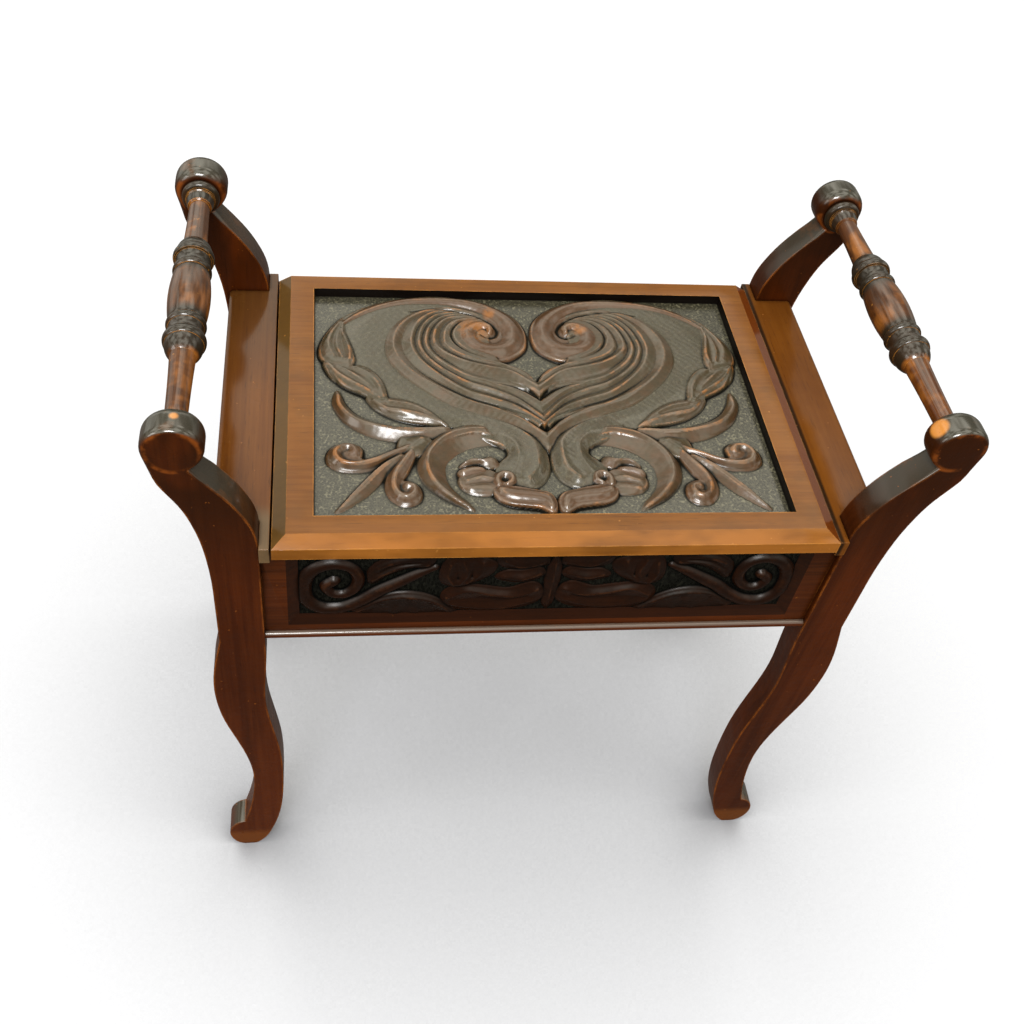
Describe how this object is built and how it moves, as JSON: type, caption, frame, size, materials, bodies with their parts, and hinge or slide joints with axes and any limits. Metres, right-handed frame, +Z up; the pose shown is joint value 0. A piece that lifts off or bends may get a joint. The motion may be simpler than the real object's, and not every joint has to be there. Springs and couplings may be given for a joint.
{
  "type": "piano stool",
  "caption": "Rectangular piano stool on scrolled board legs that rise into arms, with turned side handrails and a carved lid hinged at the back over a shallow music box.",
  "frame": {"origin": "on the floor, under the middle of the stool's bounding box", "axes": "+Z up, +X towards the right-hand handrail as seen from the front, +Y from the carved front rail to the back"},
  "size_m": [0.6086, 0.33, 0.616],
  "materials": {
    "leg_wood": "worn French polish, semi-gloss",
    "rail_wood": "worn French polish, semi-gloss",
    "lid_wood": "worn French polish, semi-gloss",
    "carved_wood": "dark stained, worn on the crests",
    "inner_wood": "bare, aged softwood",
    "brass": "dull, tarnished",
    "steel": "dull"
  },
  "bodies": {
    "stand": {"leg_front_left": "leg_wood", "leg_front_right": "leg_wood", "leg_rear_left": "leg_wood", "leg_rear_right": "leg_wood", "handrail_left": "rail_wood", "handrail_right": "rail_wood", "seat_board_left": "lid_wood", "seat_board_right": "lid_wood", "side_rail_left": "leg_wood", "side_rail_right": "leg_wood", "front_rail": "carved_wood", "front_bead": "leg_wood", "back_rail": "leg_wood", "box_bottom": "inner_wood", "bottom_bearer_front": "inner_wood", "bottom_bearer_rear": "inner_wood", "bottom_bearer_left": "inner_wood", "bottom_bearer_right": "inner_wood", "cross_rail_dowels": "inner_wood", "side_rail_dowels": "inner_wood", "hinge_leaf_fixed_left": "brass", "hinge_leaf_fixed_right": "brass", "hinge_pin_left": "steel", "hinge_pin_right": "steel", "hinge_screws_rail": "brass"},
    "lid": {"lid": "lid_wood", "hinge_leaf_moving_left": "brass", "hinge_leaf_moving_right": "brass", "hinge_screws_lid": "brass"}
  },
  "joints": [
    {"name": "lid_hinge", "type": "hinge", "parent": "stand", "child": "lid", "pos_m": [0, 0.1538, 0.4863], "axis": [-1, 0, 0], "range_deg": [0, 106]}
  ]
}
